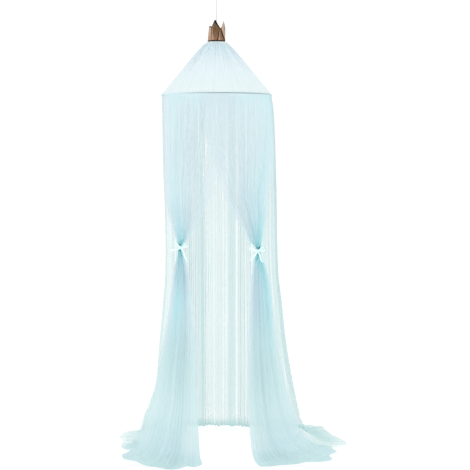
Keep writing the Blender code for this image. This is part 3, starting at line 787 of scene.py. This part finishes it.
# Tones of the folded foil: its copper colour with painted reflection and shade, from the painted shade of its
# creases to the painted highlights of the facets that face the light.
INK = (0.006, 0.003, 0.001)
UMBER = (0.06, 0.027, 0.011)
OLIVE = (0.15, 0.105, 0.055)
WARM = (0.19, 0.095, 0.04)
RUST = (0.29, 0.15, 0.1)
TAN = (0.38, 0.25, 0.155)
ROSE = (0.54, 0.33, 0.23)
PALE = (0.56, 0.46, 0.36)
ASH = (0.34, 0.29, 0.25)

# Corners of the crown: direction, and height over its foot. Those at its foot have letters for names.
CROWN_CORNERS = dict(
    tip_left=(251.5, 0.11), tip_right=(259.5, 0.11), cap_left=(247, 0.102), cap_middle=(252, 0.098),
    cap_right=(265, 0.1), dip_a=(292, 0.069), ridge=(297, 0.069), band=(288.4, 0.0618),
    tip_b=(315, 0.107), dip_b=(360, 0.072), tip_c=(396, 0.098), dip_c=(427, 0.069), tip_d=(456, 0.103),
    dip_d=(488, 0.07), tip_e=(518, 0.084), dip_e=(545, 0.071), tip_f=(568, 0.081),
    rim_left=(567, 0.073), dip_f=(590, 0.078), rim_right=(590, 0.069), kite_left=(244, 0.049),
    kite_right=(280, 0.045),
)
CROWN_FEET = (201, 230, 242, 253, 273, 281, 292, 319, 343, 372, 416, 438, 477, 499, 534)
FOOT_NAMES = "abcdefghijklmno"

# Facets: their corners from the lower left round to the upper left, and their tones low and high, which paint
# each facet's reflection and shade.
CROWN_FACETS = (
    ("cap_left cap_middle cap_right tip_right tip_left", INK, INK),
    ("cap_middle kite_left kite_right band", WARM, OLIVE),
    ("band dip_a cap_right cap_middle", UMBER, INK),
    ("dip_f kite_left cap_middle cap_left", TAN, UMBER),
    ("a b rim_right rim_left", ROSE, PALE),
    ("rim_left rim_right dip_f tip_f", ASH, INK),
    ("b c dip_f rim_right", TAN, OLIVE),
    ("c d kite_left dip_f", ROSE, TAN),
    ("d e kite_right kite_left", RUST, OLIVE),
    ("e f dip_a band kite_right", UMBER, UMBER),
    ("f g dip_a", ROSE, TAN),
    ("g h dip_a", RUST, OLIVE),
    ("h i ridge dip_a", INK, UMBER),
    ("i tip_b ridge", ROSE, PALE),
    ("i j dip_b tip_b", ROSE, INK),
    ("j tip_c dip_b", TAN, OLIVE),
    ("j k dip_c tip_c", ROSE, TAN),
    ("k l dip_c", PALE, ROSE),
    ("l tip_d dip_c", WARM, OLIVE),
    ("l m dip_d tip_d", TAN, WARM),
    ("m n dip_d", ROSE, PALE),
    ("n o dip_e tip_e dip_d", WARM, TAN),
    ("o a rim_left tip_f dip_e", TAN, ASH),
)


def around(angle, reach, height):
    turn = math.radians(angle)
    return Vector((reach * math.cos(turn), reach * math.sin(turn), height - LOOP_HEIGHT))


def mesh_from(shape, smooth=True):
    mesh = bpy.data.meshes.new("shape")
    shape.to_mesh(mesh)
    shape.free()
    if smooth:
        mesh.shade_smooth()
    return mesh


def crown_mesh():
    """The crown as folded foil: its facets, a turned-in edge at its foot, and a disc with the cord's hole."""
    shape = bmesh.new()
    copper_and_painted_light = shape.loops.layers.float_color.new("copper_and_painted_light")
    places = {}
    for name, (angle, rise) in CROWN_CORNERS.items():
        reach = CROWN_FOOT + (CROWN_POINT - CROWN_FOOT) * min(1, rise / POINT_HEIGHT)
        if name.startswith("dip"):
            reach -= CROWN_DIP_IN
        lean = Vector((CROWN_LEAN * rise, 0, 0))
        places[name] = shape.verts.new(around(angle, reach, CROWN_BASE + rise) + lean)
    foot = [shape.verts.new(around(angle, CROWN_FOOT, CROWN_BASE + CROWN_TURN)) for angle in CROWN_FEET]
    places.update(zip(FOOT_NAMES, foot))
    for names, low_tone, high_tone in CROWN_FACETS:
        corners = [places[name] for name in names.split()]
        low, high = min(v.co.z for v in corners), max(v.co.z for v in corners)
        for loop in shape.faces.new(corners).loops:
            rise = (loop.vert.co.z - low) / (high - low)
            loop[copper_and_painted_light] = (*(a + (b - a) * rise for a, b in zip(low_tone, high_tone)), 1)
    edge = [
        shape.verts.new((v.co.x * CROWN_EDGE_IN, v.co.y * CROWN_EDGE_IN, v.co.z - CROWN_TURN)) for v in foot
    ]
    hole = [shape.verts.new(around(angle, CORD_HOLE, CROWN_BASE)) for angle in CROWN_FEET]
    for outer, inner in ((foot, edge), (edge, hole)):
        for i in range(len(foot)):
            j = (i + 1) % len(foot)
            face = shape.faces.new((outer[i], inner[i], inner[j], outer[j]))
            # Painted shade: the turned-in edge and the disc under the crown are dark, darkest in front.
            color = INK if outer is foot and foot[i].co.y < CROWN_SHADED else UMBER
            for loop in face.loops:
                loop[copper_and_painted_light] = (*color, 1)
    shape.normal_update()
    return mesh_from(shape, smooth=False)


def make_crown():
    crown = add_piece("crown_foil", crown_mesh(), copper_material(), "crown")
    solid = crown.modifiers.new("thickness", "SOLIDIFY")
    solid.thickness = FOIL
    solid.offset = 0
    solid.use_quality_normals = True
    bevel = crown.modifiers.new("edges", "BEVEL")
    bevel.width = FOIL_EDGE
    bevel.segments = 2
    bevel.limit_method = "ANGLE"
    bevel.angle_limit = math.radians(30)


make_crown()


# -------- tubes and strips


def ways_along(line, closed):
    """At each point of a line, the way that it runs there."""
    count = len(line)
    for i, point in enumerate(line):
        before = line[i - 1] if closed or i else point
        after = line[(i + 1) % count] if closed or i < count - 1 else point
        yield (after - before).normalized()


def join_rings(shape, rings, closed):
    """Faces between each ring of corners and the next one."""
    following = rings[1:] + rings[:1] if closed else rings[1:]
    for ring, after in zip(rings, following):
        for k in range(len(ring)):
            j = (k + 1) % len(ring)
            shape.faces.new((ring[k], ring[j], after[j], after[k]))


# -------- cord, knots and loop

CORD_RADIUS = 0.002
CORD_FOOT = NECK_HEIGHT - SEAT
CORD_TOP = 2.488
CORD_STEPS, CORD_SIDES = 240, 16
STRANDS = 3
STRAND_PITCH = 0.012  # length over which a strand goes once round the cord
STRAND_SWELL = 0.1  # share of the cord's radius by which its strands stand out
KNOT_RADIUS = 0.009
KNOT_FLAT = 0.8  # its height, as a share of its width
KNOT_HALF = KNOT_FLAT * KNOT_RADIUS
KNOT_SWELL = 0.12
LOOP_STEPS = 120
LOOP_REACH = 0.01


def twisted_tube(line, closed=False):
    """A laid cord along a line: its section is a ring of strands that turns as it goes."""
    rings = []
    travelled = 0.0
    side = None
    shape = bmesh.new()
    for i, (point, ahead) in enumerate(zip(line, ways_along(line, closed))):
        if side is None:
            side = ahead.orthogonal().normalized()
        side = (side - ahead * side.dot(ahead)).normalized()
        other = ahead.cross(side)
        if i:
            travelled += (point - line[i - 1]).length
        twist = math.tau * travelled / STRAND_PITCH
        ring = []
        for k in range(CORD_SIDES):
            turn = math.tau * k / CORD_SIDES
            strand = abs(math.cos(STRANDS * (turn - twist) / 2))
            swell = CORD_RADIUS * (1 - STRAND_SWELL + STRAND_SWELL * strand)
            ring.append(shape.verts.new(point + (side * math.cos(turn) + other * math.sin(turn)) * swell))
        rings.append(ring)
    join_rings(shape, rings, closed)
    if not closed:
        shape.faces.new(list(reversed(rings[0])))
        shape.faces.new(rings[-1])
    return mesh_from(shape)


def wound_knot(height):
    """A knot drawn tight: turns of cord round a flattened ball."""
    shape = bmesh.new()
    bmesh.ops.create_uvsphere(shape, u_segments=48, v_segments=32, radius=1.0)
    for vertex in shape.verts:
        p = vertex.co
        turn = math.atan2(p.y, p.x)
        wind = abs(math.sin(1.5 * turn + 5.0 * p.z + 1.2 * math.sin(2 * turn)))
        vertex.co = Vector((p.x, p.y, KNOT_FLAT * p.z)) * KNOT_RADIUS * (1 - KNOT_SWELL + KNOT_SWELL * wind)
        vertex.co.z += height - LOOP_HEIGHT
    return mesh_from(shape)


def loop_line():
    """The loop's line: a drop shape that is narrow at the knot."""
    start = CORD_TOP + 2 * KNOT_HALF + 2 * SEAT + CORD_RADIUS
    top = LOOP_HEIGHT + CORD_RADIUS
    line = []
    for i in range(LOOP_STEPS):
        turn = math.tau * i / LOOP_STEPS
        rise = (1 - math.cos(turn)) / 2
        reach = LOOP_REACH * math.sin(turn) * (0.45 + 0.55 * rise)
        line.append(Vector((reach, 0, start + (top - start) * rise - LOOP_HEIGHT)))
    return line


cord_look = grained_material("cord_look", (1500, 1500, 500), 3.0, CORD_TONES, 0.3, 0.0003, Roughness=0.8)
neck_knot_at = CORD_FOOT - SEAT - KNOT_HALF
top_knot_at = CORD_TOP + SEAT + KNOT_HALF
route = [
    Vector((0, 0, CORD_FOOT + (CORD_TOP - CORD_FOOT) * i / CORD_STEPS - LOOP_HEIGHT))
    for i in range(CORD_STEPS + 1)
]
cord = add_piece("cord_line", twisted_tube(route), cord_look, "hanging_cord")
add_piece("neck_knot_wound", wound_knot(neck_knot_at), cord_look, "neck_knot")
top_knot = add_piece("hanging_knot_wound", wound_knot(top_knot_at), cord_look, "hanging_knot")
loop = add_piece("loop_line", twisted_tube(loop_line(), closed=True), cord_look, "hanging_loop")


# -------- ribbons

RIBBON_WIDTH = 0.01
RIBBON = 0.0008
BUNDLE_HALF_WIDTH = 0.0201
BUNDLE_HALF_DEPTH = 0.0136
BUNDLE_STANDS_OUT = 0.0013
BUNDLE_STEPS = 72
BOW_TURN = math.radians(60)  # how far its loops are turned to show their faces
BOW_KNOT = (0.0065, 0.0056, 0.0075)  # its reach across, forwards and up
BOW_KNOT_FORWARD = 0.004
TURN_LENGTH = 0.107  # of the ribbon round the bundle
KNOTTED_LENGTH = 0.03
LOOP_SHARE = 2.3  # a loop's length, as a share of its reach
# Over the ribbon's width: the place, how far it is cupped there, and its thickness.
RIBBON_SECTION = ((-0.5, 0.0, 1.1), (-0.3, 0.06, 0.9), (0.0, 0.09, 0.8), (0.3, 0.06, 0.9), (0.5, 0.0, 1.1))

# Each end of a bow as its tip's place from the knot: across and up, and the width that a loop opens to.
Bow = namedtuple("Bow", "across up open")
Tie = namedtuple("Tie", "name node panel angle height ends")
LEFT_BOW = rows_of(
    Bow, (-0.034, 0.023, 0.024), (0.038, 0.016, 0.022), (-0.058, -0.018, 0), (0.038, -0.076, 0)
)
RIGHT_BOW = rows_of(
    Bow, (-0.044, 0.012, 0.024), (0.039, 0.01, 0.024), (-0.036, -0.054, 0), (0.029, -0.062, 0)
)
TIES = (
    Tie("left_ribbon", "left_tie", "left_net", 229.5, LEFT_TIED_AT, LEFT_BOW),
    Tie("right_ribbon", "right_tie", "right_net", 312.5, RIGHT_TIED_AT, RIGHT_BOW),
)


def ribbon_strip(shape, line, across, closed=False, forked=False):
    """A ribbon along a line, slightly cupped over its width, with thicker selvedges."""
    rings = []
    for i, (point, ahead) in enumerate(zip(line, ways_along(line, closed))):
        side = (across - ahead * across.dot(ahead)).normalized()
        out = ahead.cross(side).normalized()
        ring = []
        for face in (1, -1):
            for place, cup, thick in RIBBON_SECTION[::face]:
                offset = side * place * RIBBON_WIDTH + out * (cup * RIBBON_WIDTH + face * thick * RIBBON / 2)
                if forked and i == len(line) - 1:
                    offset -= ahead * RIBBON_WIDTH * 0.5 * (0.5 - abs(place))
                ring.append(shape.verts.new(point + offset))
        rings.append(ring)
    join_rings(shape, rings, closed)
    if not closed:
        sides = len(rings[0])
        for ring in (rings[0], rings[-1]):
            for k in range(sides // 2 - 1):
                shape.faces.new((ring[k], ring[k + 1], ring[sides - 2 - k], ring[sides - 1 - k]))


def bow_line(knot_centre, end):
    """The line of a loop, or of a tail that hangs in a shallow wave, and the way across its ribbon."""
    across, up = Vector((end.across, 0, end.up)), Vector((-end.up, 0, end.across)).normalized()
    forward = Vector((0, 1, 0))
    opening = up * math.cos(BOW_TURN) + forward * math.sin(BOW_TURN)
    ribbon = forward * math.cos(BOW_TURN) - up * math.sin(BOW_TURN)
    points = []
    steps = 40 if end.open else 24
    for i in range(steps + 1):
        part = i / steps
        if end.open:
            out = math.sin(math.pi * part) ** 0.8
            aside = -end.open / 2 * math.sin(math.tau * part)
        else:
            out = part
            aside = 0.004 * math.sin(math.tau * part)
        sag = forward * -0.006 * math.sin(math.pi * out)
        points.append(knot_centre + across * out + opening * aside + sag)
    return points, ribbon


def make_ribbon(tie, look):
    """A ribbon's turn round the bundle, its two loops and two tails, and its knot."""
    reach = float(wall_reach(tie.angle, tie.height)) + BUNDLE_STANDS_OUT
    centre = around(tie.angle, reach, tie.height)
    turn = math.radians(tie.angle)
    outwards = Vector((math.cos(turn), math.sin(turn), 0)) * BUNDLE_HALF_DEPTH
    sideways = Vector((-math.sin(turn), math.cos(turn), 0)) * BUNDLE_HALF_WIDTH
    turns = [math.tau * i / BUNDLE_STEPS for i in range(BUNDLE_STEPS)]
    band = [centre + sideways * math.cos(t) + outwards * math.sin(t) for t in turns]
    knot_centre = min(band, key=lambda point: point.y) - Vector((0, BOW_KNOT_FORWARD, 0))
    shape = bmesh.new()
    ribbon_strip(shape, band, Vector((0, 0, 1)), closed=True)
    length = TURN_LENGTH + KNOTTED_LENGTH
    for end in tie.ends:
        line, across = bow_line(knot_centre, end)
        ribbon_strip(shape, line, across, forked=not end.open)
        length += math.hypot(end.across, end.up) * (LOOP_SHARE if end.open else 1)
    for vertex in bmesh.ops.create_icosphere(shape, subdivisions=4, radius=1.0)["verts"]:
        p = vertex.co.copy()
        crease = 1 - 0.1 * abs(math.sin(5.0 * p.x + 2.0 * p.z)) ** 3
        vertex.co = knot_centre + p * Vector(BOW_KNOT) * crease
    bmesh.ops.recalc_face_normals(shape, faces=shape.faces)
    made = add_piece(tie.name, mesh_from(shape), look, tie.node)


satin = grained_material(
    "satin_ribbon_look", (900, 900, 300), 2.0, SATIN_TONES, 0.2, 0.0002, Roughness=0.38, Sheen_Weight=0.3
)
for tie in TIES:
    make_ribbon(tie, satin)


# -------- hoop

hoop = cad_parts["hoop"]
hoop_look = hoop_material()
for held in hoop.material_slots:
    held.material = hoop_look


# -------- floor and light

FLOOR_HALF = 14
FLOOR_GLOW = 0.71
ROOM_LIGHT, BACKDROP_LIGHT = 1.115, 1.12
KEY_FROM, KEY_LIGHT = (-0.25, -0.9, 1.3), 0.6
SOFTBOX_ANGLE = 50
CLEAR_LAYERS = 64


def make_floor():
    """A pale floor just under the net, lit as evenly as the backdrop."""
    mesh = bpy.data.meshes.new("floor")
    z = CAD_BOX[0][2]
    corners = [(x * FLOOR_HALF, y * FLOOR_HALF, z) for x, y in ((-1, -1), (1, -1), (1, 1), (-1, 1))]
    mesh.from_pydata(corners, [], [(0, 1, 2, 3)])
    floor = bpy.data.objects.new("floor", mesh)
    bpy.context.scene.collection.objects.link(floor)
    made, tree, shader = new_material("floor_look")
    mottle = stretched_noise(tree, object_place(tree), (1.5, 1.5, 1), 2.0)
    grey = ramp(tree, mottle, (0.3, 3 * (0.33,)), (0.7, 3 * (0.35,)))
    fill(tree, shader, Base_Color=grey, Roughness=1.0, Specular_IOR_Level=0.0)
    fill(tree, shader, Emission_Color=WHITE, Emission_Strength=FLOOR_GLOW)
    mesh.materials.append(made)


def make_world():
    """Even white light from all round, and a backdrop that the camera sees a little brighter."""
    world = bpy.data.worlds.new("studio")
    bpy.context.scene.world = world
    world.use_nodes = True
    tree = world.node_tree
    room = tree.nodes["Background"]
    fill(tree, room, Color=WHITE, Strength=ROOM_LIGHT)
    backdrop = node(tree, "Background", Color=WHITE, Strength=BACKDROP_LIGHT)
    seen = node(tree, "LightPath").outputs["Is Camera Ray"]
    both = mixed_shaders(tree, seen, room.outputs[0], backdrop.outputs[0])
    fill(tree, tree.nodes["World Output"], Surface=both)


def soft_light(name, toward, strength):
    """Light from one direction, given as the way to its source, as even as a studio's softbox."""
    data = bpy.data.lights.new(name, "SUN")
    data.angle = math.radians(SOFTBOX_ANGLE)
    data.energy = strength
    light = bpy.data.objects.new(name, data)
    bpy.context.scene.collection.objects.link(light)
    light.rotation_euler = Vector(toward).to_track_quat("Z", "Y").to_euler()


make_floor()
make_world()
soft_light("key", KEY_FROM, KEY_LIGHT)

scene = bpy.context.scene
scene.view_settings.view_transform = "Standard"
scene.view_settings.look = "None"
scene.cycles.transparent_max_bounces = CLEAR_LAYERS
